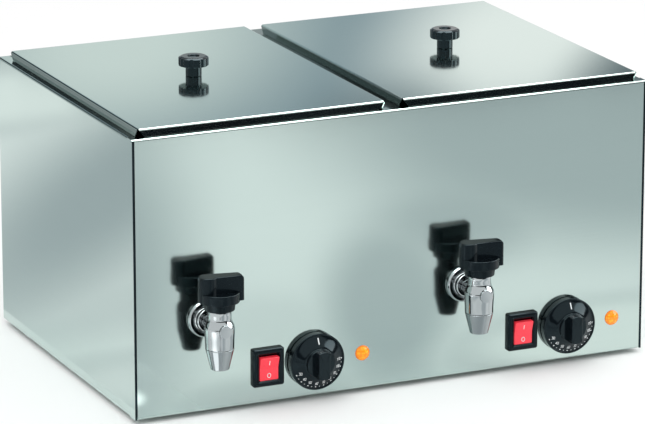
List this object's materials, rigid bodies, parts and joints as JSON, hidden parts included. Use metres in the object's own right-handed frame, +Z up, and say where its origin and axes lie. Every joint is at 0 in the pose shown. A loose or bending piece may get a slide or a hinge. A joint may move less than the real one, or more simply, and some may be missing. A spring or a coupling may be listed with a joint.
{
  "type": "sausage warmer",
  "caption": "Counter-top sausage warmer in folded stainless steel, with side-by-side water wells, lift-off lids, drain taps, rocker switches, thermostat dials and pilot lamps.",
  "frame": {"origin": "centre of the bounding box in plan, on the table plane under the feet", "axes": "+X to the right along the front panel, +Y from the front panel to the back, +Z up"},
  "size_m": [0.55, 0.4345, 0.3117],
  "materials": {
    "brushed_sheet": "bright brushed stainless sheet, nearly mirror-like",
    "lid_sheet": "bright brushed stainless sheet, nearly mirror-like",
    "tap_chrome": "polished chrome plate",
    "bright_steel": "bright turned steel",
    "heater_sheath": "dull grey heater sheath",
    "black_gloss": "glossy moulded black plastic",
    "black_satin": "satin moulded black plastic",
    "red_plastic": "translucent red rocker plastic",
    "amber_lens": "clear amber lens with moulded facets",
    "plain_brass": "machined brass",
    "pale_plastic": "pale moulded insulating plastic",
    "foot_rubber": "soft black rubber",
    "grey_sleeve": "grey woven sleeve"
  },
  "bodies": {
    "cabinet": {"front_panel": "brushed_sheet", "side_panel_left": "brushed_sheet", "side_panel_right": "brushed_sheet", "rear_panel": "brushed_sheet", "top_deck": "brushed_sheet", "base_plate": "brushed_sheet", "rubber_feet": "foot_rubber", "foot_screws": "bright_steel", "base_screws": "bright_steel", "rear_screws": "bright_steel", "well_left": "brushed_sheet", "well_right": "brushed_sheet", "drain_socket_left": "bright_steel", "drain_socket_right": "bright_steel", "heater_left": "heater_sheath", "heater_right": "heater_sheath", "heater_clamps_left": "bright_steel", "heater_clamps_right": "bright_steel", "heater_nuts": "bright_steel", "tap_flange_left": "tap_chrome", "tap_flange_right": "tap_chrome", "tap_body_left": "tap_chrome", "tap_body_right": "tap_chrome", "tap_nozzle_left": "tap_chrome", "tap_nozzle_right": "tap_chrome", "tap_bonnet_left": "black_satin", "tap_bonnet_right": "black_satin", "tap_locknut_left": "bright_steel", "tap_locknut_right": "bright_steel", "switch_frame_left": "black_satin", "switch_frame_right": "black_satin", "switch_body_left": "black_satin", "switch_body_right": "black_satin", "thermostat_left": "pale_plastic", "thermostat_right": "pale_plastic", "thermostat_screws": "bright_steel", "sensor_left": "plain_brass", "sensor_right": "plain_brass", "lamp_lens_left": "amber_lens", "lamp_lens_right": "amber_lens", "lamp_holders": "pale_plastic", "cable_gland": "black_satin", "terminal_block": "pale_plastic", "wiring_loom": "grey_sleeve"},
    "lid_unit_left": {"lid_left": "lid_sheet", "lid_knob_left": "black_gloss", "lid_screw_left": "bright_steel"},
    "tap_key_left": {"tap_handle_left": "black_satin", "tap_plug_left": "plain_brass"},
    "dial_unit_left": {"dial_left": "black_gloss", "dial_shaft_left": "bright_steel"},
    "rocker_left": {"switch_rocker_left": "red_plastic"},
    "lid_unit_right": {"lid_right": "lid_sheet", "lid_knob_right": "black_gloss", "lid_screw_right": "bright_steel"},
    "tap_key_right": {"tap_handle_right": "black_satin", "tap_plug_right": "plain_brass"},
    "dial_unit_right": {"dial_right": "black_gloss", "dial_shaft_right": "bright_steel"},
    "rocker_right": {"switch_rocker_right": "red_plastic"}
  },
  "joints": [
    {"name": "lid_lift_left", "type": "slide", "parent": "cabinet", "child": "lid_unit_left", "axis": [0, 0, 1], "range_m": [0, 0.15]},
    {"name": "tap_turn_left", "type": "hinge", "parent": "cabinet", "child": "tap_key_left", "pos_m": [-0.2015, -0.19775, 0.0985], "axis": [0, 0, 1], "range_deg": [0, 90]},
    {"name": "dial_turn_left", "type": "hinge", "parent": "cabinet", "child": "dial_unit_left", "pos_m": [-0.0865, -0.16275, 0.0412], "axis": [0, 1, 0], "range_deg": [0, 270]},
    {"name": "rocker_tilt_left", "type": "hinge", "parent": "cabinet", "child": "rocker_left", "pos_m": [-0.1367, -0.16055, 0.0412], "axis": [-1, 0, 0], "range_deg": [0, 16]},
    {"name": "lid_lift_right", "type": "slide", "parent": "cabinet", "child": "lid_unit_right", "axis": [0, 0, 1], "range_m": [0, 0.15]},
    {"name": "tap_turn_right", "type": "hinge", "parent": "cabinet", "child": "tap_key_right", "pos_m": [0.0745, -0.19775, 0.0985], "axis": [0, 0, 1], "range_deg": [0, 90]},
    {"name": "dial_turn_right", "type": "hinge", "parent": "cabinet", "child": "dial_unit_right", "pos_m": [0.1895, -0.16275, 0.0412], "axis": [0, 1, 0], "range_deg": [0, 270]},
    {"name": "rocker_tilt_right", "type": "hinge", "parent": "cabinet", "child": "rocker_right", "pos_m": [0.1393, -0.16055, 0.0412], "axis": [-1, 0, 0], "range_deg": [0, 16]}
  ]
}
